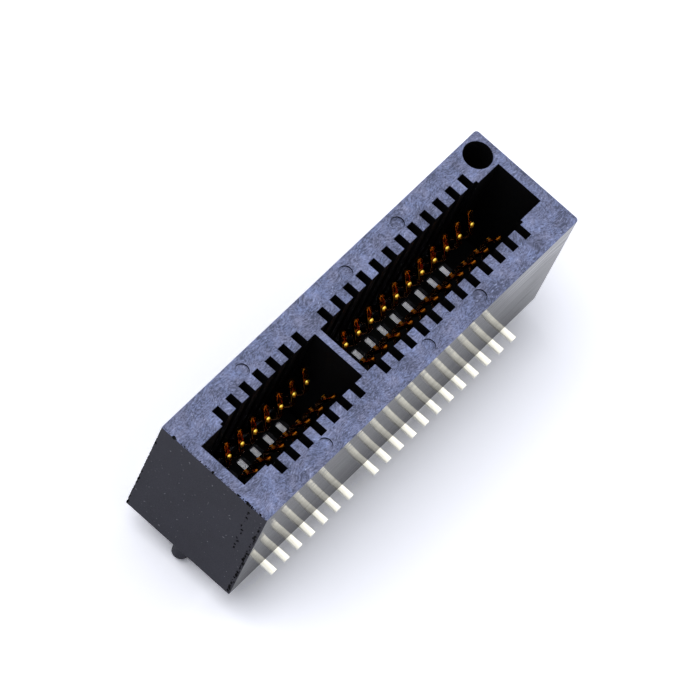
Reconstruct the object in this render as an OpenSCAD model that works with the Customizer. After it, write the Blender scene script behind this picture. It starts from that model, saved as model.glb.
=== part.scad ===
// Vertical card edge connector for surface mounting, two rows of formed spring contacts.
// Origin: middle of the board plane, under the solder feet.
// +X runs along the slot to the end with the round corner mark, +Z to the mating face.

/* [Contact pattern] */
// Places along each row, counting the one that the key rib takes
positions = 20; // [12:1:26]
// Distance between neighbouring places
pitch = 1.00; // [0.9:0.05:1.4]
// Place that the key rib takes, counted from the plain end
key_position = 8; // [4:1:10]

/* [Housing] */
// Width of the housing across the two rows
body_w = 6.86; // [6.6:0.02:7.6]
// Height of the housing from underside to mating face
body_h = 8.28; // [7.6:0.02:9.6]
// Distance from each end face to the nearest contact place
end_margin = 2.70; // [2.4:0.05:3.6]
// Corner radius of the upright edges at the plain end
plain_corner_r = 0.06; // [0.02:0.01:0.3]
// Corner radius of the upright edges at the marked end
marked_corner_r = 0.20; // [0.02:0.01:0.4]

/* [Card slot] */
// Width of the slot between the two rows of contacts
slot_w = 3.13; // [2.9:0.01:3.5]
// Width of the slot at its two ends, past the contacts
slot_end_w = 2.82; // [2.4:0.01:2.88]
// How far the wider stretch runs past the outermost contacts
wide_margin = 0.45; // [0.3:0.01:0.9]
// Thickness of the wall at each end of the slot
end_wall = 0.65; // [0.5:0.01:0.9]
// Thickness of the key rib across the slot
key_rib_t = 0.39; // [0.2:0.01:0.5]
// Thickness of the slot's floor
floor_t = 0.40; // [0.25:0.01:0.7]

/* [Contact cavities] */
// Width of each cavity along the row
cavity_w = 0.455; // [0.43:0.005:0.6]
// Distance from the middle of the slot to the back of a cavity
cavity_reach = 2.295; // [2.2:0.005:2.6]
// Length of each floor window along the row
window_l = 0.52; // [0.35:0.01:0.7]
// Distance from the middle of the slot to the inner edge of a floor window
window_inner = 0.38; // [0.2:0.01:0.5]
// Distance from the middle of the slot to the outer edge of a floor window
window_outer = 0.98; // [0.7:0.01:1.3]

/* [Underside] */
// Depth of the relief under the floor, where the feet turn outward
relief_h = 0.25; // [0.1:0.01:0.4]
// Distance from the backs of the cavities to the side of the relief
relief_side = 0.455; // [0.3:0.005:0.6]
// How far the relief runs past the outermost contacts
relief_margin = 0.90; // [0.5:0.05:1.2]
// Diameter of the locating pegs
peg_d = 0.91; // [0.6:0.01:1.1]
// Distance from each end face to the axis of its peg
peg_inset = 0.70; // [0.6:0.01:1.0]
// Length of a peg below the housing, with its tip
peg_l = 1.70; // [1.2:0.05:2.6]
// Height of the cone at the tip of a peg
peg_tip_h = 0.42; // [0.2:0.02:0.6]
// Diameter of the flat at the tip of a peg
peg_tip_d = 0.46; // [0.2:0.02:0.55]

/* [Mating face marks] */
// Diameter of the round corner mark
mark_d = 1.59; // [1.0:0.01:1.6]
// Depth of the round corner mark
mark_depth = 3.00; // [1.0:0.1:5.0]
// Distance from the marked end face to the axis of the corner mark
mark_inset_x = 1.07; // [0.95:0.01:1.3]
// Distance from the long side to the axis of the corner mark
mark_inset_y = 0.99; // [0.95:0.01:1.05]
// Diameter of the ejector marks
ejector_d = 0.76; // [0.4:0.02:0.9]
// Depth of the ejector marks
ejector_depth = 0.06; // [0.02:0.01:0.15]
// Distance from each long side to the middle of its ejector marks
ejector_inset = 0.70; // [0.55:0.01:0.75]
// Distance from the plain end face to the first pair of ejector marks
ejector_plain_inset = 5.28; // [3:0.02:7]
// Distance from the middle of the housing to the second pair of ejector marks
ejector_middle_x = 1.05; // [-1:0.05:2]
// Distance from the marked end face to the third pair of ejector marks
ejector_marked_inset = 7.10; // [3:0.02:8]

/* [Contacts] */
// Thickness of the contact strip
strip_t = 0.20; // [0.15:0.01:0.25]
// Width of the contact strip
strip_w = 0.38; // [0.28:0.01:0.4]
// Distance that each foot reaches past the side of the housing
foot_reach = 0.75; // [0.4:0.05:1.5]
// Gap between the housing and the top of the feet
foot_gap = 0.06; // [0.02:0.01:0.2]
// Mid-line radius of the bend from foot to leg
foot_bend_r = 0.25; // [0.2:0.01:0.3]
// Gap between a leg and the back of its cavity
leg_gap = 0.01; // [0.01:0.01:0.05]
// Height of the straight leg's upper corner above the slot's floor
leg_h = 1.15; // [0.9:0.05:1.8]
// Mid-line radius of the bend from leg to spring
leg_bend_r = 0.60; // [0.3:0.05:0.9]
// Depth of the crown's corner below the mating face
crown_depth = 3.45; // [3.0:0.05:4.0]
// Distance of the crown's corner from the middle of the slot
crown_y = 0.40; // [0.3:0.01:0.7]
// Mid-line radius of the crown
crown_r = 0.35; // [0.2:0.01:0.6]
// Depth of the free tip below the mating face
tip_depth = 1.86; // [1.5:0.02:2.2]
// Distance of the free tip from the middle of the slot
tip_y = 1.06; // [0.9:0.01:1.2]
// Size of the cuts at the corners of the free tip
tip_cut = 0.12; // [0.05:0.01:0.13]
// Diameter of the contact dome on the lead-in
dome_d = 0.34; // [0.24:0.02:0.36]
// Depth of the contact dome's middle below the mating face
dome_depth = 2.75; // [2.4:0.05:2.9]
// Gap between each barb's edge and the side of the cavity
barb_gap = 0.01; // [0.005:0.005:0.02]
// Height of one barb
barb_h = 0.22; // [0.15:0.01:0.24]
// Barbs one above the other on a leg
barbs = 2; // [1:1:2]

/* [Hidden] */
// Sides of a round, straight stretches in a bend, and how far a cut runs past a face
$fn = 48;
bend_steps = 6;
cut_past = 1;

// Overall lengths and heights
body_l = (positions - 1) * pitch + 2 * end_margin;
first_x = -(positions - 1) * pitch / 2;
slot_l = body_l - 2 * end_wall;
wide_l = (positions - 1) * pitch + 2 * wide_margin;
relief_l = (positions - 1) * pitch + 2 * relief_margin;
body_z = strip_t + foot_gap;
mating_z = body_z + body_h;
floor_under_z = body_z + relief_h;
floor_z = floor_under_z + floor_t;

// Places of the pieces that fit into each other
relief_reach = cavity_reach + relief_side;
leg_y = cavity_reach - leg_gap - strip_t / 2;
tip_corner = [tip_y, mating_z - tip_depth];
crown_corner = [crown_y, mating_z - crown_depth];
lead_in_lean = atan2(tip_y - crown_y, crown_depth - tip_depth);
barb_w = cavity_w - 2 * barb_gap;
barb_z = floor_under_z + leg_gap;
ejector_x = [
    ejector_plain_inset - body_l / 2,
    ejector_middle_x,
    body_l / 2 - ejector_marked_inset
];

contact_places = [for (i = [1:positions]) if (i != key_position) i];
rows = ["a", "b"];

function place_x(i) = first_x + (i - 1) * pitch;
function contact_name(row, i) = str("contact_", row, i < 10 ? "0" : "", i);

// Plane helpers for a strip that follows a line of corners with rounded bends
function unit(v) = v / norm(v);
function left_of(v) = [-v[1], v[0]];
function turned(v, a) = [v[0] * cos(a) - v[1] * sin(a), v[0] * sin(a) + v[1] * cos(a)];
function turn_angle(u, v) = atan2(u[0] * v[1] - u[1] * v[0], u * v);

// One side of the bend at corner b, at a signed distance from the mid-line
function bend_side(a, b, c, r, side) =
    let (
        u = unit(b - a),
        angle = turn_angle(u, unit(c - b)),
        way = sign(angle),
        start = b - u * r * tan(abs(angle) / 2),
        centre = start + way * r * left_of(u)
    )
    [for (k = [0:bend_steps]) centre - way * (r - way * side) * turned(left_of(u), angle * k / bend_steps)];

// One whole side of the strip, from its first corner to its last
function strip_side(corners, radii, side) =
    let (
        n = len(corners) - 1,
        first = left_of(unit(corners[1] - corners[0])),
        last = left_of(unit(corners[n] - corners[n - 1]))
    )
    concat(
        [corners[0] + side * first],
        [for (i = [1:n - 1], p = bend_side(corners[i - 1], corners[i], corners[i + 1], radii[i - 1], side)) p],
        [corners[n] + side * last]
    );

function reversed(points) = [for (i = [len(points) - 1:-1:0]) points[i]];

// Outline of the formed strip, drawn in the plane across the rows
module strip_outline(corners, radii, thickness) {
    polygon(concat(
        strip_side(corners, radii, thickness / 2),
        reversed(strip_side(corners, radii, -thickness / 2))
    ));
}

// Stands an outline drawn across the rows upright, spread evenly along X
module across_rows(width) {
    translate([-width / 2, 0, 0])
        rotate([90, 0, 90])
            linear_extrude(width)
                children();
}

// Rectangle centred on X and Y
module centred_rect(length, width) {
    translate([-length / 2, -width / 2])
        square([length, width]);
}

// Both upright corners of one end of the housing, rounded
module end_corners(r) {
    translate([0, -body_w / 2 + r])
        square([r, body_w - 2 * r]);
    for (side = [-1, 1])
        translate([r, side * (body_w / 2 - r)])
            circle(r);
}

// Outline of the housing seen from above
module body_plan() {
    translate([-body_l / 2 + plain_corner_r, -body_w / 2])
        square([body_l - plain_corner_r - marked_corner_r, body_w]);
    translate([-body_l / 2, 0])
        end_corners(plain_corner_r);
    translate([body_l / 2, 0])
        mirror([1, 0])
            end_corners(marked_corner_r);
}

// Slot with its cavities, seen from above, without the key rib
module slot_plan() {
    difference() {
        union() {
            centred_rect(slot_l, slot_end_w);
            centred_rect(wide_l, slot_w);
            for (i = contact_places)
                translate([place_x(i), 0])
                    centred_rect(cavity_w, 2 * cavity_reach);
        }
        translate([place_x(key_position), 0])
            centred_rect(key_rib_t, slot_w + 2 * cut_past);
    }
}

// Openings through the floor: a passage for each leg and a window under each crown
module floor_plan() {
    for (i = contact_places, side = [0, 1])
        mirror([0, side])
            translate([place_x(i), 0]) {
                translate([-cavity_w / 2, slot_w / 2])
                    square([cavity_w, cavity_reach - slot_w / 2]);
                translate([-window_l / 2, window_inner])
                    square([window_l, window_outer - window_inner]);
            }
}

// Locating peg, pointing down from the housing
module peg() {
    shank_l = peg_l - peg_tip_h;
    translate([0, 0, -shank_l])
        cylinder(h = shank_l + floor_t, d = peg_d);
    translate([0, 0, -peg_l])
        cylinder(h = peg_tip_h, d1 = peg_tip_d, d2 = peg_d);
}

// Shallow round marks that the ejector pins leave on the mating face
module ejector_marks() {
    for (x = ejector_x, side = [-1, 1])
        translate([x, side * (body_w / 2 - ejector_inset), mating_z - ejector_depth])
            cylinder(h = ejector_depth + cut_past, d = ejector_d);
}

// Moulded housing with the key rib and both pegs
module housing() {
    color([0.15, 0.15, 0.19])
        union() {
            difference() {
                translate([0, 0, body_z])
                    linear_extrude(body_h)
                        body_plan();
                translate([0, 0, floor_z])
                    linear_extrude(body_h)
                        slot_plan();
                translate([0, 0, floor_under_z - cut_past / 2])
                    linear_extrude(floor_t + cut_past)
                        floor_plan();
                translate([0, 0, body_z - cut_past])
                    linear_extrude(relief_h + cut_past)
                        centred_rect(relief_l, 2 * relief_reach);
                translate([body_l / 2 - mark_inset_x, body_w / 2 - mark_inset_y, mating_z - mark_depth])
                    cylinder(h = mark_depth + cut_past, d = mark_d);
                ejector_marks();
            }
            for (side = [-1, 1])
                translate([side * (body_l / 2 - peg_inset), 0, body_z])
                    peg();
        }
}

// Barbs on the leg, wide at their lower edge
module leg_barbs() {
    for (k = [0:barbs - 1])
        translate([0, leg_y + strip_t / 2, barb_z + k * barb_h])
            rotate([90, 0, 0])
                linear_extrude(strip_t)
                    polygon([
                        [-barb_w / 2, 0],
                        [barb_w / 2, 0],
                        [strip_w / 2, barb_h],
                        [-strip_w / 2, barb_h]
                    ]);
}

// What comes off the two corners of the free tip
module tip_corner_cuts() {
    translate([0, tip_corner[0], tip_corner[1]])
        rotate([-lead_in_lean, 0, 0])
            for (side = [-1, 1])
                translate([side * strip_w / 2, 0, 0])
                    rotate([0, 45, 0])
                        cube([sqrt(2) * tip_cut, 2 * strip_t, sqrt(2) * tip_cut], center = true);
}

// Coined dome on the lead-in's inner face, where the card's pad slides
module contact_dome() {
    up_lead_in = unit(tip_corner - crown_corner);
    along = (crown_depth - dome_depth) / (crown_depth - tip_depth);
    middle = crown_corner + along * (tip_corner - crown_corner) + left_of(up_lead_in) * strip_t / 2;
    translate([0, middle[0], middle[1]])
        sphere(d = dome_d);
}

// Formed contact of the row on the +Y side, with its foot on the board
module contact() {
    corners = [
        [body_w / 2 + foot_reach, strip_t / 2],
        [leg_y, strip_t / 2],
        [leg_y, floor_z + leg_h],
        crown_corner,
        tip_corner
    ];
    color([0.80, 0.70, 0.45])
        union() {
            difference() {
                across_rows(strip_w)
                    strip_outline(corners, [foot_bend_r, leg_bend_r, crown_r], strip_t);
                tip_corner_cuts();
            }
            contact_dome();
            leg_barbs();
        }
}

// Contact of a row at its place along the slot
module placed_contact(row, i) {
    translate([place_x(i), 0, 0])
        rotate([0, 0, row == "a" ? 0 : 180])
            contact();
}

housing();
for (row = rows, i = contact_places)
    placed_contact(row, i);
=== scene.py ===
"""Card edge connector in a plain white studio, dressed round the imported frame.

Shapes are worked in millimetres, in the frame's own axes, and stored in metres.
"""

import math
import random

import bmesh
import bpy
from mathutils import Matrix, Vector


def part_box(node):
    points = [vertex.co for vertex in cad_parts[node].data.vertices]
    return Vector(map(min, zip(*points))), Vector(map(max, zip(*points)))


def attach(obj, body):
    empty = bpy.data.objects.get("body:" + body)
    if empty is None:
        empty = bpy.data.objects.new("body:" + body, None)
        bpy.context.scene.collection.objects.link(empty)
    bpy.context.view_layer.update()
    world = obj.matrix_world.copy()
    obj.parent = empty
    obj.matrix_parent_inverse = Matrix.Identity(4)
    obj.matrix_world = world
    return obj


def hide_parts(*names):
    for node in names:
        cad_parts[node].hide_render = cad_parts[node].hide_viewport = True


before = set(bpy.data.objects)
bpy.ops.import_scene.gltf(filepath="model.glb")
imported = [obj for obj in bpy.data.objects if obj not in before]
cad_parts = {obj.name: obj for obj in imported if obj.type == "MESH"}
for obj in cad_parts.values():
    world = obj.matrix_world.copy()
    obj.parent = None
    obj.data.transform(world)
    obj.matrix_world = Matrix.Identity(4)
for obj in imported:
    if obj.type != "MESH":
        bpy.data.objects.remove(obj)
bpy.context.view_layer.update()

# Units, and the places that the frame gives, in mm
MM = 0.001
PER_MM = 1.0 / MM
HOUSING_LOW, HOUSING_HIGH = (corner * PER_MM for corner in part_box("housing"))
FOOT_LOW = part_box("contact_b01")[0] * PER_MM
HALF_L = HOUSING_HIGH.x
HALF_W = HOUSING_HIGH.y
MATING_Z = HOUSING_HIGH.z
PEG_TIP_Z = HOUSING_LOW.z
FOOT_T = 0.20
FOOT_GAP = 0.06
UNDERSIDE_Z = FOOT_LOW.z + FOOT_T + FOOT_GAP
BODY_H = MATING_Z - UNDERSIDE_Z

# Camera, fitted to the photograph: target, distance, lens and sensor in mm, angles in degrees
CAMERA_TARGET = Vector((-2.08, -0.21, 8.54))
CAMERA_DISTANCE = 362.2
CAMERA_AZIMUTH = -163.6
CAMERA_ELEVATION = 59.08
CAMERA_ROLL = 27.37
CAMERA_LENS = 382.5
SENSOR = 36.0

# Light: angles in degrees, sizes and distances in metres, power in watts
LAMP_DISTANCE = 0.75
KEY_AZIMUTH = 132.0
KEY_ELEVATION = 62.0
KEY_SIZE = 0.60
KEY_POWER = 2.3
FILL_AZIMUTH = -25.0
FILL_ELEVATION = 46.0
FILL_SIZE = 0.32
FILL_POWER = 0.67
SKY_STRENGTH = 0.52
SKY_COLOUR = (0.94, 0.96, 1.0, 1.0)
SEEN_SKY_STRENGTH = 1.0
SEEN_SKY_COLOUR = (1.0, 1.0, 1.0, 1.0)

# Floor: its size and the reach of its shading in metres
FLOOR_SIZE = 6.0
FLOOR_COLOUR = (0.90, 0.90, 0.92)
FLOOR_SEEN_COLOUR = (1.46, 1.47, 1.56)
FLOOR_REACH = 0.003

# Floor as it is seen: painted light under the part, and a painted shadow along the near side.
# Each pair of distances, in mm, is where that starts to fade and where it has ended.
UNDER_PART_PAINTED_LIGHT = 1.50
UNDER_PART_X = (10.4, 11.2)
UNDER_PART_Y = (2.2, 2.9)
NEAR_SIDE_Y = (-3.4, -2.4)

# Housing shape, in mm
WELD = 0.0005
SLIVER = 0.001
ON_FACE = 0.02
OUTER_EDGE = 0.045
INNER_EDGE = 0.02
MARKED_CORNER = 0.21
SINK = 0.09
SINK_FADE = 1.6
SINK_ROWS = 16
SINK_COLUMNS = 14
EJECTOR_DEPTH = 0.06
EJECTOR_EXTRA = 0.05
EJECTOR_FROM_Y = 2.33
EJECTOR_TO_X = 8.0
FINISH_ZONE = 0.15

# Angles between faces
FLAT_ANGLE = math.radians(0.6)
SHARP_ANGLE = math.radians(25)
HOUSING_CREASE = math.radians(20)
CONTACT_CREASE = math.radians(40)

# How much of a face's normal lies along an axis
FACES_SIDEWAYS = 0.99
FACES_UP = 0.35
LIES_FLAT = 0.9999

# The housing's finishes, in the order of its materials
MATING_FACE, LONG_SIDE, END_FACE, SHADED_RECESS = range(4)

# Nicks: length along X, width along Y and height along Z for their size, turn in
# radians, how far a corner moves in or out, and the place within an even share of the run
NICK_SEED = 18
NICK_LENGTH = 0.7
NICK_WIDTH = (0.5, 1.0)
NICK_HEIGHT = (0.6, 1.5)
NICK_TURN = (-0.5, 0.5)
NICK_CORNER = (0.70, 1.25)
NICK_PLACE = (0.1, 0.9)
NICK_SPREAD = 0.07
NICK_LIMIT = 0.60

# Runs of nicks on the plain end, in mm: start and end as (y, z), how many, smallest size,
# largest size, and the length along X for their size
LONG_NICK = 3.0
NICK_RUNS = [
    ((-3.30, 7.6), (-3.32, 0.4), 34, 0.06, 0.15, NICK_LENGTH),
    ((-2.35, 8.2), (-2.60, 4.0), 11, 0.05, 0.13, NICK_LENGTH),
    ((HALF_W, 8.4), (HALF_W, 0.4), 30, 0.09, 0.16, LONG_NICK),
    ((3.30, MATING_Z), (-3.30, MATING_Z), 34, 0.05, 0.11, NICK_LENGTH),
    ((3.30, UNDERSIDE_Z), (-3.30, UNDERSIDE_Z), 12, 0.03, 0.07, NICK_LENGTH),
]

# Single larger nicks in the top edge of the plain end, in mm: y and size
TOP_NICKS = [
    (2.62, 0.20),
    (2.18, 0.10),
    (1.75, 0.09),
    (0.10, 0.15),
    (-2.16, 0.15),
    (-2.30, 0.12),
    (-2.45, 0.14),
    (-2.66, 0.08),
]

# Parts of a noise's range that a finish runs over
MIDDLE = (0.3, 0.7)
NARROW = (0.35, 0.65)

# Plastic
PLASTIC_IOR = 1.45

# Mating face: colours, brightened and blued as a painted sheen on black plastic, with painted
# glints in the fleck colour, then the share of each kind of mark in the shade
FACE_IOR = 1.52
FACE_DARK = (0.054, 0.064, 0.124)
FACE_SHEEN_GREY = (0.300, 0.322, 0.520)
FACE_SHEEN_BLUE = (0.284, 0.348, 0.640)
FACE_GLINT = (0.46, 0.52, 0.74)
FACE_SHADE = (0.616, 0.916)
FACE_ROUGHNESS = (0.62, 0.46)
FIBRE_SHARE = 0.60
CLOUD_SHARE = 0.45
SPECK_SHARE = 0.35
FIBRE_GLOSS = (0.45, 0.75)
GLINT_RANGE = (0.68, 0.80)
GLINT_SHARE = 0.8
FIRST_FIBRES_TURN = math.radians(20)
SECOND_FIBRES_TURN = math.radians(-50)

# Long sides: heights in mm
SIDE_DARK = (0.010, 0.010, 0.013)
SIDE_PALE = (0.020, 0.020, 0.025)
SIDE_ROUGHNESS = (0.03, 0.07)
SIDE_SPECULAR = (0.07, 0.13)
SIDE_LINES_Z = (4.0, 7.0)
# Reflection weakened towards the bottom: painted shade for the shaded floor that the low wall
# mirrors
SIDE_SHADE_Z = (0.3, 4.0)
SIDE_SHADED_REFLECTION = (0.60, 0.90)

# End faces
END_DARK = (0.006, 0.006, 0.012)
END_PALE = (0.016, 0.016, 0.027)
END_SPECK = (0.11, 0.11, 0.13)
END_SPECK_RANGE = (0.74, 0.78)
END_ROUGHNESS = (0.50, 0.62)
END_SPECULAR = 0.21

# Slot walls, cavities and nicks: the same plastic, painted darker as painted shade
RECESS_SHADE_DARK = (0.0015, 0.0015, 0.002)
RECESS_SHADE_PALE = (0.004, 0.004, 0.005)
SLOT_ROUGHNESS = (0.45, 0.60)
SLOT_SPECULAR = 0.12

# Contacts: heights and sizes in mm
CONTACT_EDGE = 0.03
PLATING_LINE = 1.6
PLATING_BLUR = 0.25
GOLD_LOW = 5.45
GOLD_HIGH = 6.25
GOLD_BLUR = 0.05

# Contacts: how squarely a place faces the way that the lead-in does, from 0 to 1. The
# shift makes the gold start sooner on the far row than on the near one, as in the photo.
LEAD_IN_NORMAL = Vector((0.0, 0.924, 0.384))
RUBBED_FROM = (0.70, 0.88)
DOME_UP_TO = (0.88, 0.96)
GOLD_FROM = (0.49, 0.55)
# The row shift paints light and shade by row: more gold to catch the light on the far row's
# domes, less on the near row's.
GOLD_ROW_LIGHT_SHIFT = 0.24

# Contacts: pairs of colours between which the grain runs, and the roughness
GOLD = ((0.94, 0.60, 0.06), (1.0, 0.74, 0.12))
DULL_BRONZE = ((0.18, 0.055, 0.004), (0.30, 0.095, 0.007))
RUBBED_BRONZE = ((0.62, 0.21, 0.014), (0.95, 0.33, 0.022))
TIN = ((0.91, 0.89, 0.79), (0.98, 0.96, 0.87))
# Near-black bronze round the gold spot: painted shade that hides the dome's reflections.
DOME_PAINTED_SHADE = (0.05, 0.016, 0.002)
TIN_ROUGHNESS = (0.36, 0.48)
SPRING_SMOOTHER = 0.22
GOLD_ROUGHER = 0.14


def add(tree, kind, inputs=None, **settings):
    """A new node with its settings made and its inputs set or linked."""
    node = tree.nodes.new(kind)
    for name, value in settings.items():
        setattr(node, name, value)
    for socket, value in (inputs or {}).items():
        set_or_link(tree, node.inputs[socket], value)
    return node


def set_or_link(tree, socket, value):
    """Gives an input a fixed value, or a link where the value is another node's output."""
    if isinstance(value, bpy.types.NodeSocket):
        tree.links.new(value, socket)
    else:
        socket.default_value = value


def new_material(name):
    """An empty node material, its tree and its output node."""
    material = bpy.data.materials.new(name)
    material.use_nodes = True
    tree = material.node_tree
    tree.nodes.clear()
    return material, tree, add(tree, "ShaderNodeOutputMaterial")


def finish_material(tree, output, inputs):
    """A principled shader with the inputs given, as the material's surface."""
    shader = add(tree, "ShaderNodeBsdfPrincipled", inputs)
    tree.links.new(shader.outputs[0], output.inputs["Surface"])


def places_in_mm(tree, stretch=(1.0, 1.0, 1.0)):
    """Object coordinates in mm, each times its stretch."""
    coordinates = add(tree, "ShaderNodeTexCoord")
    mapping = add(
        tree,
        "ShaderNodeMapping",
        {
            "Vector": coordinates.outputs["Object"],
            "Scale": tuple(s * PER_MM for s in stretch),
        },
    )
    return mapping.outputs["Vector"]


def axes_in_mm(tree):
    """Outputs X, Y and Z of the object coordinates, in mm."""
    return add(tree, "ShaderNodeSeparateXYZ", {"Vector": places_in_mm(tree)}).outputs


def noise(tree, vector, scale, detail=3.0, roughness=0.6, distortion=0.0):
    """Noise as a grey value around 0.5."""
    node = add(
        tree,
        "ShaderNodeTexNoise",
        {
            "Vector": vector,
            "Scale": scale,
            "Detail": detail,
            "Roughness": roughness,
            "Distortion": distortion,
        },
    )
    return node.outputs["Fac"]


def stretched_noise(tree, stretch, detail, roughness):
    """Noise that repeats about as often per mm as the stretch says, along each axis."""
    return noise(tree, places_in_mm(tree, stretch), 1.0, detail, roughness)


def math_node(tree, operation, first, second):
    """One arithmetic node on two values or sockets."""
    node = add(tree, "ShaderNodeMath", operation=operation)
    for socket, value in zip(node.inputs, (first, second)):
        set_or_link(tree, socket, value)
    return node.outputs[0]


def times(tree, first, second):
    """Product of two values or sockets."""
    return math_node(tree, "MULTIPLY", first, second)


def plus(tree, first, second):
    """Sum of two values or sockets."""
    return math_node(tree, "ADD", first, second)


def remap(tree, value, low, high, to_low=0.0, to_high=1.0):
    """Value moved from one range to another and held inside it."""
    node = add(
        tree,
        "ShaderNodeMapRange",
        {
            "Value": value,
            "From Min": low,
            "From Max": high,
            "To Min": to_low,
            "To Max": to_high,
        },
    )
    return node.outputs["Result"]


def rising(tree, value, middle, blur):
    """0 below the middle and 1 above it, with a soft step."""
    return remap(tree, value, middle - blur, middle + blur)


def falling(tree, value, low, high):
    """1 up to the low value, running down to 0 at the high one."""
    return remap(tree, value, low, high, 1.0, 0.0)


def colour_between(tree, factor, first, second):
    """Colour that runs from first to second, each a socket or three numbers."""
    node = add(tree, "ShaderNodeMix", {"Factor": factor}, data_type="RGBA")
    for socket, colour in ((node.inputs[6], first), (node.inputs[7], second)):
        linked = isinstance(colour, bpy.types.NodeSocket)
        set_or_link(tree, socket, colour if linked else (*colour, 1.0))
    return node.outputs[2]


def bump(tree, height, distance_mm, strength=1.0, normal=None):
    """Bumped normal for a height that runs from 0 to 1."""
    inputs = {"Height": height, "Distance": distance_mm * MM, "Strength": strength}
    if normal is not None:
        inputs["Normal"] = normal
    return add(tree, "ShaderNodeBump", inputs).outputs["Normal"]


def warped_places(tree, amount, scale):
    """Places in mm, pushed about by slow noise, so that streaks on them swirl."""
    places = places_in_mm(tree)
    push = add(tree, "ShaderNodeTexNoise", {"Vector": places, "Scale": scale, "Detail": 2.0})
    centred = add(
        tree,
        "ShaderNodeVectorMath",
        {0: push.outputs["Color"], 1: (0.5, 0.5, 0.5)},
        operation="SUBTRACT",
    )
    sized = add(
        tree,
        "ShaderNodeVectorMath",
        {0: centred.outputs[0], "Scale": amount},
        operation="SCALE",
    )
    total = add(tree, "ShaderNodeVectorMath", {0: places, 1: sized.outputs[0]}, operation="ADD")
    return total.outputs[0]


def streaks(tree, places, along, across, turn):
    """Short fibre streaks: noise drawn out along one direction."""
    mapping = add(
        tree,
        "ShaderNodeMapping",
        {"Vector": places, "Rotation": (0.0, 0.0, turn), "Scale": (along, across, across)},
    )
    return noise(tree, mapping.outputs["Vector"], 1.0, detail=2.0, roughness=0.5)


def mating_face_material():
    """Black filled plastic with fibres and flow marks near its surface. The lamp's sheen is
    painted in as pale blue-grey, and painted glints show as pale flecks on the fibres.
    """
    material, tree, output = new_material("filled_plastic_mating_face_painted_sheen")
    swirls = warped_places(tree, amount=1.3, scale=0.55)
    first = streaks(tree, swirls, along=3.6, across=14.0, turn=FIRST_FIBRES_TURN)
    second = streaks(tree, swirls, along=4.0, across=15.0, turn=SECOND_FIBRES_TURN)
    fibres = math_node(tree, "MAXIMUM", first, second)
    clouds = noise(tree, places_in_mm(tree), scale=0.8)
    specks = noise(tree, places_in_mm(tree), scale=10.0, detail=2.0)
    mixed = times(tree, fibres, FIBRE_SHARE)
    mixed = plus(tree, mixed, times(tree, clouds, CLOUD_SHARE))
    mixed = plus(tree, mixed, times(tree, specks, SPECK_SHARE))
    tint = remap(tree, noise(tree, places_in_mm(tree), scale=1.7), *NARROW)
    # Painted sheen: the pale blue-grey stands for the lamp's sheen on black plastic.
    pale = colour_between(tree, tint, FACE_SHEEN_GREY, FACE_SHEEN_BLUE)
    plain = colour_between(tree, remap(tree, mixed, *FACE_SHADE), FACE_DARK, pale)
    # Painted glints on the brightest fibres.
    glints = remap(tree, fibres, *GLINT_RANGE, 0.0, GLINT_SHARE)
    finish_material(
        tree,
        output,
        {
            "Base Color": colour_between(tree, glints, plain, FACE_GLINT),
            "Roughness": remap(tree, fibres, *FIBRE_GLOSS, *FACE_ROUGHNESS),
            "IOR": FACE_IOR,
            "Normal": bump(tree, fibres, distance_mm=0.010, strength=0.6),
        },
    )
    return material


def long_side_material():
    """The same plastic off a polished mould wall, a little wavy, with its reflection painted
    weaker towards the bottom as painted shade.
    """
    material, tree, output = new_material("filled_plastic_long_side")
    height = axes_in_mm(tree)["Z"]
    waves = stretched_noise(tree, (0.25, 1.0, 1.3), detail=1.0, roughness=0.4)
    lines = stretched_noise(tree, (0.12, 1.0, 2.6), detail=1.0, roughness=0.5)
    lines = times(tree, lines, remap(tree, height, *SIDE_LINES_Z))
    drag = stretched_noise(tree, (14.0, 1.0, 0.5), detail=2.0, roughness=0.5)
    grooves = stretched_noise(tree, (0.5, 1.0, 5.0), detail=2.0, roughness=0.6)
    clouds = noise(tree, places_in_mm(tree), scale=0.6)
    wavy = bump(tree, waves, distance_mm=0.012)
    rippled = bump(tree, lines, distance_mm=0.020, normal=wavy)
    # Painted shade: weaker reflection low on the wall.
    reflection_shade = remap(tree, height, *SIDE_SHADE_Z, *SIDE_SHADED_REFLECTION)
    finish_material(
        tree,
        output,
        {
            "Base Color": colour_between(tree, clouds, SIDE_DARK, SIDE_PALE),
            "Roughness": remap(tree, drag, *MIDDLE, *SIDE_ROUGHNESS),
            "IOR": PLASTIC_IOR,
            "Specular IOR Level": times(
                tree, remap(tree, grooves, *NARROW, *SIDE_SPECULAR), reflection_shade
            ),
            "Normal": bump(tree, drag, distance_mm=0.002, strength=0.5, normal=rippled),
        },
    )
    return material


def end_face_material():
    """The same plastic off a plain mould wall, dull, with a fine grain and a few specks."""
    material, tree, output = new_material("filled_plastic_end_face")
    grain = noise(tree, places_in_mm(tree), scale=14.0)
    clouds = noise(tree, places_in_mm(tree), scale=0.7, detail=4.0, distortion=0.4)
    spots = noise(tree, places_in_mm(tree), scale=7.0, detail=1.0, roughness=0.4)
    plain = colour_between(tree, clouds, END_DARK, END_PALE)
    specks = remap(tree, spots, *END_SPECK_RANGE)
    finish_material(
        tree,
        output,
        {
            "Base Color": colour_between(tree, specks, plain, END_SPECK),
            "Roughness": remap(tree, grain, *MIDDLE, *END_ROUGHNESS),
            "IOR": PLASTIC_IOR,
            "Specular IOR Level": END_SPECULAR,
            "Normal": bump(tree, grain, distance_mm=0.012, strength=0.5),
        },
    )
    return material


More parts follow.
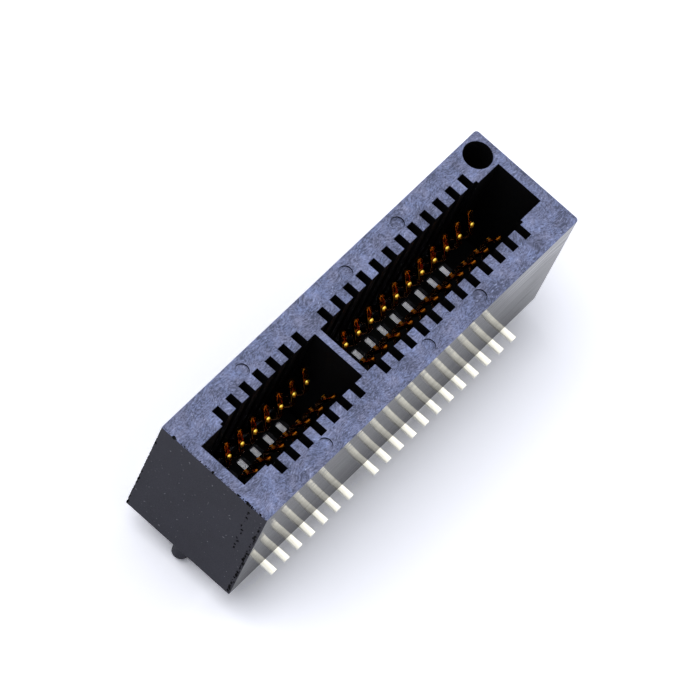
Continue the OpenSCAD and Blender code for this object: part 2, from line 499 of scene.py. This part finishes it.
def shaded_recess_material():
    """The same plastic inside the slot, the cavities and the nicks, nearly black: painted darker
    than outside as painted shade.
    """
    material, tree, output = new_material("filled_plastic_recess_painted_shade")
    grain = noise(tree, places_in_mm(tree), scale=9.0)
    finish_material(
        tree,
        output,
        {
            "Base Color": colour_between(tree, grain, RECESS_SHADE_DARK, RECESS_SHADE_PALE),
            "Roughness": remap(tree, grain, *MIDDLE, *SLOT_ROUGHNESS),
            "IOR": PLASTIC_IOR,
            "Specular IOR Level": SLOT_SPECULAR,
            "Normal": bump(tree, grain, distance_mm=0.01, strength=0.5),
        },
    )
    return material


def facing_card(tree, row):
    """How squarely a contact's surface faces the way that its lead-in does."""
    coordinates = add(tree, "ShaderNodeTexCoord")
    normal = add(tree, "ShaderNodeSeparateXYZ", {"Vector": coordinates.outputs["Normal"]})
    inward = times(tree, times(tree, normal.outputs["Y"], row), -1.0)
    return plus(
        tree,
        times(tree, inward, LEAD_IN_NORMAL.y),
        times(tree, normal.outputs["Z"], LEAD_IN_NORMAL.z),
    )


def contact_material():
    """Bronze spring with a gold spot on the contact dome, and matt tin on the foot. Round the
    gold spot, the dome is painted near black as painted shade. The far row gets more gold than
    the near row, as painted light and shade.
    """
    material, tree, output = new_material("gold_bronze_and_tin_with_painted_dome_shade")
    axes = axes_in_mm(tree)
    row = math_node(tree, "SIGN", axes["Y"], 0.0)
    to_card = facing_card(tree, row)
    above_tin = rising(tree, axes["Z"], PLATING_LINE, PLATING_BLUR)
    above_crown = rising(tree, axes["Z"], GOLD_LOW, GOLD_BLUR)
    below_tip = falling(tree, axes["Z"], GOLD_HIGH - GOLD_BLUR, GOLD_HIGH + GOLD_BLUR)
    in_band = times(tree, above_crown, below_tip)
    on_dome = times(tree, in_band, falling(tree, to_card, *DOME_UP_TO))
    # Painted light and shade by row: the gold starts sooner on the far row.
    row_lit_facing = plus(tree, to_card, times(tree, row, GOLD_ROW_LIGHT_SHIFT))
    gold_share = times(tree, remap(tree, row_lit_facing, *GOLD_FROM), on_dome)
    grain = noise(tree, places_in_mm(tree, (3.0, 8.0, 8.0)), scale=1.5)
    gold, dull, rubbed, tin = (
        colour_between(tree, grain, *colours)
        for colours in (GOLD, DULL_BRONZE, RUBBED_BRONZE, TIN)
    )
    bronze = colour_between(tree, remap(tree, to_card, *RUBBED_FROM), dull, rubbed)
    # Painted shade: the dome round the gold spot turns near black.
    shaded_dome_bronze = colour_between(tree, on_dome, bronze, DOME_PAINTED_SHADE)
    spring = colour_between(tree, gold_share, shaded_dome_bronze, gold)
    roughness = remap(tree, grain, *MIDDLE, *TIN_ROUGHNESS)
    roughness = plus(tree, roughness, times(tree, above_tin, -SPRING_SMOOTHER))
    roughness = plus(tree, roughness, times(tree, gold_share, GOLD_ROUGHER))
    finish_material(
        tree,
        output,
        {
            "Base Color": colour_between(tree, above_tin, tin, spring),
            "Metallic": 1.0,
            "Roughness": roughness,
            "Normal": bump(tree, grain, distance_mm=0.001, strength=0.4),
        },
    )
    return material


def working_copy(node):
    """The node's shape as an editable mesh in mm, welded, with flat faces joined."""
    shape = bmesh.new()
    shape.from_mesh(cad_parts[node].data)
    bmesh.ops.scale(shape, vec=(PER_MM,) * 3, verts=shape.verts)
    bmesh.ops.remove_doubles(shape, verts=shape.verts, dist=WELD)
    bmesh.ops.dissolve_limit(
        shape, angle_limit=FLAT_ANGLE, verts=shape.verts, edges=shape.edges
    )
    bmesh.ops.recalc_face_normals(shape, faces=shape.faces)
    return shape


def new_object(shape, name):
    """A new object in the scene with the shape as it stands."""
    mesh = bpy.data.meshes.new(name)
    shape.to_mesh(mesh)
    shape.free()
    if "custom_normal" in mesh.attributes:
        mesh.attributes.remove(mesh.attributes["custom_normal"])
    piece = bpy.data.objects.new(name, mesh)
    bpy.context.scene.collection.objects.link(piece)
    return piece


def finished_object(shape, name):
    """A new object in the scene with the shape, back in metres."""
    bmesh.ops.scale(shape, vec=(MM,) * 3, verts=shape.verts)
    return new_object(shape, name)


def declare(piece, node):
    """The piece stands for a CAD node, whose part it hides, and rides on its body."""
    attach(piece, "root")
    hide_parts(node)


def sharp_convex_edges(shape):
    """Edges that stand out, where two faces meet at a clear angle."""
    return [
        edge
        for edge in shape.edges
        if len(edge.link_faces) == 2 and edge.is_convex and edge.calc_face_angle() > SHARP_ANGLE
    ]


def on_outside(edge):
    """True for the edges of the housing's outer block."""
    def outside(place):
        from_end = HALF_L - abs(place.x)
        from_side = HALF_W - abs(place.y)
        return min(from_end, from_side) < ON_FACE or max(from_end, from_side) < MARKED_CORNER

    return all(outside(vertex.co) for vertex in edge.verts)


def in_ejector(place):
    """True for a place on one of the ejector marks, which keep their crisp rim."""
    return abs(place.y) > EJECTOR_FROM_Y and place.x < EJECTOR_TO_X


def deepen_ejectors(shape):
    """Lowers the bottoms of the ejector marks."""
    bottom = MATING_Z - EJECTOR_DEPTH
    for vertex in shape.verts:
        if abs(vertex.co.z - bottom) < ON_FACE / 4 and in_ejector(vertex.co):
            vertex.co.z -= EJECTOR_EXTRA


def on_rim(edge):
    """True for the edges of the openings in the mating face."""
    on_top = all(vertex.co.z > MATING_Z - ON_FACE / 2 for vertex in edge.verts)
    return on_top and not on_outside(edge) and not all(in_ejector(v.co) for v in edge.verts)


def round_edges(shape, size, segments, wanted=lambda edge: True):
    """Rounds the sharp convex edges that are wanted."""
    bmesh.ops.bevel(
        shape,
        geom=[edge for edge in sharp_convex_edges(shape) if wanted(edge)],
        offset=size,
        offset_type="OFFSET",
        segments=segments,
        profile=0.5,
        affect="EDGES",
        clamp_overlap=False,
    )


def sink_depth(x, z):
    """How far a long side has sunk in at a place: deepest at half height, none at the ends."""
    up = (z - UNDERSIDE_Z) / BODY_H
    from_end = min(1.0, max(0.0, (HALF_L - abs(x)) / SINK_FADE))
    eased = from_end * from_end * (3.0 - 2.0 * from_end)
    return SINK * 4.0 * up * (1.0 - up) * eased


def long_side_parts(shape):
    """Vertices, edges and faces of the two long sides, in the same order each run."""
    faces = [
        face
        for face in shape.faces
        if abs(face.normal.y) > FACES_SIDEWAYS
        and abs(face.calc_center_median().y) > HALF_W - ON_FACE
    ]
    edges = dict.fromkeys(edge for face in faces for edge in face.edges)
    vertices = dict.fromkeys(vertex for face in faces for vertex in face.verts)
    return [*vertices, *edges, *faces]


def sink_long_sides(shape):
    """Cuts both long sides into a grid and lets them sink in a little."""
    rows = [UNDERSIDE_Z + BODY_H * i / SINK_ROWS for i in range(1, SINK_ROWS)]
    columns = [-HALF_L + 2.0 * HALF_L * i / SINK_COLUMNS for i in range(1, SINK_COLUMNS)]
    cuts = [((0.0, 0.0, z), (0.0, 0.0, 1.0)) for z in rows]
    cuts += [((x, 0.0, 0.0), (1.0, 0.0, 0.0)) for x in columns]
    for point, across in cuts:
        bmesh.ops.bisect_plane(
            shape, geom=long_side_parts(shape), dist=WELD, plane_co=point, plane_no=across
        )
    for vertex in shape.verts:
        if abs(vertex.co.y) > HALF_W - ON_FACE:
            inward = -math.copysign(1.0, vertex.co.y)
            vertex.co.y += inward * sink_depth(vertex.co.x, vertex.co.z)


def add_lump(lumps, draw, y, z, size, length=NICK_LENGTH):
    """One small ragged lump at a place on the plain end."""
    centre = Vector((-HALF_L, y, z))
    stretch = Matrix.Diagonal(
        (length, draw.uniform(*NICK_WIDTH), draw.uniform(*NICK_HEIGHT), 1.0)
    )
    turn = Matrix.Rotation(draw.uniform(*NICK_TURN), 4, "X")
    place = Matrix.Translation(centre) @ turn @ stretch
    made = bmesh.ops.create_icosphere(lumps, subdivisions=1, radius=size, matrix=place)
    for vertex in made["verts"]:
        vertex.co = centre + (vertex.co - centre) * draw.uniform(*NICK_CORNER)


def nick_cutter():
    """Ragged lumps along the edges of the plain end, to be cut away."""
    draw = random.Random(NICK_SEED)
    lumps = bmesh.new()
    for start, end, count, smallest, largest, length in NICK_RUNS:
        for i in range(count):
            along = (i + draw.uniform(*NICK_PLACE)) / count
            aside = draw.uniform(-NICK_SPREAD, NICK_SPREAD)
            y = start[0] + (end[0] - start[0]) * along + aside
            z = start[1] + (end[1] - start[1]) * along
            add_lump(lumps, draw, y, z, draw.uniform(smallest, largest), length)
    for y, size in TOP_NICKS:
        add_lump(lumps, draw, y, MATING_Z, size)
    return lumps


def cut_away(shape, cutter):
    """What is left of a shape once the cutter's shape is taken out of it."""
    body = new_object(shape, "body")
    tool = new_object(cutter, "tool")
    modifier = body.modifiers.new("cut", "BOOLEAN")
    modifier.operation = "DIFFERENCE"
    modifier.solver = "EXACT"
    modifier.use_self = True
    modifier.object = tool
    graph = bpy.context.evaluated_depsgraph_get()
    left = bmesh.new()
    left.from_object(body, graph)
    for piece in (body, tool):
        mesh = piece.data
        bpy.data.objects.remove(piece)
        bpy.data.meshes.remove(mesh)
    return left


def in_nick(place):
    """True for a place in the plain end that lies under the outer faces."""
    under = min(
        HALF_L - abs(place.x), HALF_W - abs(place.y), MATING_Z - place.z, place.z - UNDERSIDE_Z
    )
    return place.x < NICK_LIMIT - HALF_L and under > ON_FACE


def lies_flat(polygon):
    """True for a face along one of the frame's planes."""
    return max(abs(part) for part in polygon.normal) > LIES_FLAT


def housing_finish(polygon):
    """The finish of one face of the housing."""
    centre = polygon.center * PER_MM
    # Nicks take the recesses' painted shade.
    if in_nick(centre):
        return SHADED_RECESS
    if centre.z > MATING_Z - FINISH_ZONE and polygon.normal.z > FACES_UP:
        return MATING_FACE
    if abs(centre.x) > HALF_L - FINISH_ZONE:
        return END_FACE
    if abs(centre.y) > HALF_W - SINK - ON_FACE:
        return LONG_SIDE
    if centre.z < UNDERSIDE_Z + ON_FACE:
        return END_FACE
    return SHADED_RECESS


def build_housing():
    """Housing with rounded edges, sunk long sides and a nicked plain end."""
    shape = working_copy("housing")
    deepen_ejectors(shape)
    sink_long_sides(shape)
    round_edges(shape, INNER_EDGE, 1, on_rim)
    round_edges(shape, OUTER_EDGE, 2, on_outside)
    shape = cut_away(shape, nick_cutter())
    bmesh.ops.dissolve_degenerate(shape, dist=SLIVER, edges=shape.edges)
    bmesh.ops.triangulate(shape, faces=[face for face in shape.faces if len(face.verts) > 4])
    piece = finished_object(shape, "housing_shell")
    for material in (
        mating_face_material(),
        long_side_material(),
        end_face_material(),
        shaded_recess_material(),
    ):
        piece.data.materials.append(material)
    for polygon in piece.data.polygons:
        polygon.material_index = housing_finish(polygon)
    piece.data.set_sharp_from_angle(angle=HOUSING_CREASE)
    for polygon in piece.data.polygons:
        plain = in_nick(polygon.center * PER_MM) or lies_flat(polygon)
        polygon.use_smooth = polygon.material_index == LONG_SIDE or not plain
    declare(piece, "housing")


def build_contacts():
    """Every contact with rounded edges and its plating."""
    plating = contact_material()
    for node in sorted(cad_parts):
        if not node.startswith("contact_"):
            continue
        shape = working_copy(node)
        round_edges(shape, CONTACT_EDGE, 2)
        piece = finished_object(shape, node.replace("contact", "spring"))
        piece.data.materials.append(plating)
        piece.data.set_sharp_from_angle(angle=CONTACT_CREASE)
        declare(piece, node)


def seen_directly(tree):
    """1 for camera, glossy and transmission rays, else 0."""
    path = add(tree, "ShaderNodeLightPath")
    first = math_node(
        tree, "MAXIMUM", path.outputs["Is Camera Ray"], path.outputs["Is Glossy Ray"]
    )
    return math_node(tree, "MAXIMUM", first, path.outputs["Is Transmission Ray"])


def floor_material():
    """Pale paint that is seen brighter than it lights the part, with painted light under the
    part and a painted shadow along the near side.
    """
    material, tree, output = new_material("pale_floor")
    seen = seen_directly(tree)
    colour = colour_between(tree, seen, FLOOR_COLOUR, FLOOR_SEEN_COLOUR)
    axes = axes_in_mm(tree)
    under_part = times(
        tree,
        falling(tree, math_node(tree, "ABSOLUTE", axes["X"], 0.0), *UNDER_PART_X),
        falling(tree, math_node(tree, "ABSOLUTE", axes["Y"], 0.0), *UNDER_PART_Y),
    )
    # Painted light under the part, and a painted shadow along the near side.
    painted_light = times(tree, under_part, UNDER_PART_PAINTED_LIGHT - 1.0)
    open_share = add(tree, "ShaderNodeAmbientOcclusion", {"Distance": FLOOR_REACH}).outputs["AO"]
    closed_share = math_node(tree, "SUBTRACT", 1.0, open_share)
    shade = times(tree, closed_share, falling(tree, axes["Y"], *NEAR_SIDE_Y))
    change = times(tree, math_node(tree, "SUBTRACT", painted_light, shade), seen)
    shaded = add(
        tree,
        "ShaderNodeVectorMath",
        {0: colour, "Scale": plus(tree, change, 1.0)},
        operation="SCALE",
    )
    paint = add(tree, "ShaderNodeBsdfDiffuse", {"Color": shaded.outputs[0]})
    tree.links.new(paint.outputs[0], output.inputs["Surface"])
    return material


def build_floor():
    """Plain pale floor under the peg tips."""
    mesh = bpy.data.meshes.new("floor")
    half = FLOOR_SIZE / 2
    z = PEG_TIP_Z * MM
    corners = [(-half, -half, z), (half, -half, z), (half, half, z), (-half, half, z)]
    mesh.from_pydata(corners, [], [(0, 1, 2, 3)])
    floor = bpy.data.objects.new("floor", mesh)
    bpy.context.scene.collection.objects.link(floor)
    mesh.materials.append(floor_material())


def build_light():
    """White surroundings, a soft lamp over the far side and a weaker one opposite."""
    world = bpy.data.worlds.new("studio")
    bpy.context.scene.world = world
    world.use_nodes = True
    tree = world.node_tree
    tree.nodes.clear()
    sky = add(tree, "ShaderNodeBackground", {"Color": SKY_COLOUR, "Strength": SKY_STRENGTH})
    white = add(
        tree,
        "ShaderNodeBackground",
        {"Color": SEEN_SKY_COLOUR, "Strength": SEEN_SKY_STRENGTH},
    )
    chosen = add(
        tree,
        "ShaderNodeMixShader",
        {"Fac": seen_directly(tree), 1: sky.outputs[0], 2: white.outputs[0]},
    )
    add(tree, "ShaderNodeOutputWorld", {"Surface": chosen.outputs[0]})
    add_lamp("key_lamp", KEY_AZIMUTH, KEY_ELEVATION, KEY_SIZE, KEY_POWER)
    add_lamp("fill_lamp", FILL_AZIMUTH, FILL_ELEVATION, FILL_SIZE, FILL_POWER)


def add_lamp(name, azimuth, elevation, size, power):
    """One square soft lamp that faces the part."""
    lamp = bpy.data.lights.new(name, "AREA")
    lamp.size = size
    lamp.energy = power
    holder = bpy.data.objects.new(name, lamp)
    bpy.context.scene.collection.objects.link(holder)
    back = direction(azimuth, elevation)
    holder.location = back * LAMP_DISTANCE
    holder.rotation_mode = "QUATERNION"
    holder.rotation_quaternion = (-back).to_track_quat("-Z", "Y")


def direction(azimuth, elevation):
    """Unit vector at an azimuth from +X and an elevation, in degrees."""
    a = math.radians(azimuth)
    e = math.radians(elevation)
    return Vector((math.cos(a) * math.cos(e), math.sin(a) * math.cos(e), math.sin(e)))


def build_camera():
    """Camera at the photograph's viewing angle."""
    camera = bpy.data.cameras.new("camera")
    camera.lens = CAMERA_LENS
    camera.sensor_width = SENSOR
    holder = bpy.data.objects.new("camera", camera)
    bpy.context.scene.collection.objects.link(holder)
    back = direction(CAMERA_AZIMUTH, CAMERA_ELEVATION)
    level_right = Vector((0.0, 0.0, 1.0)).cross(back).normalized()
    level_up = back.cross(level_right)
    roll = math.radians(CAMERA_ROLL)
    right = level_right * math.cos(roll) + level_up * math.sin(roll)
    up = back.cross(right)
    place = Matrix((right, up, back)).transposed().to_4x4()
    place.translation = (CAMERA_TARGET + back * CAMERA_DISTANCE) * MM
    holder.matrix_world = place
    bpy.context.scene.camera = holder


bpy.context.scene.view_settings.view_transform = "Standard"
build_camera()
build_light()
build_floor()
build_housing()
build_contacts()
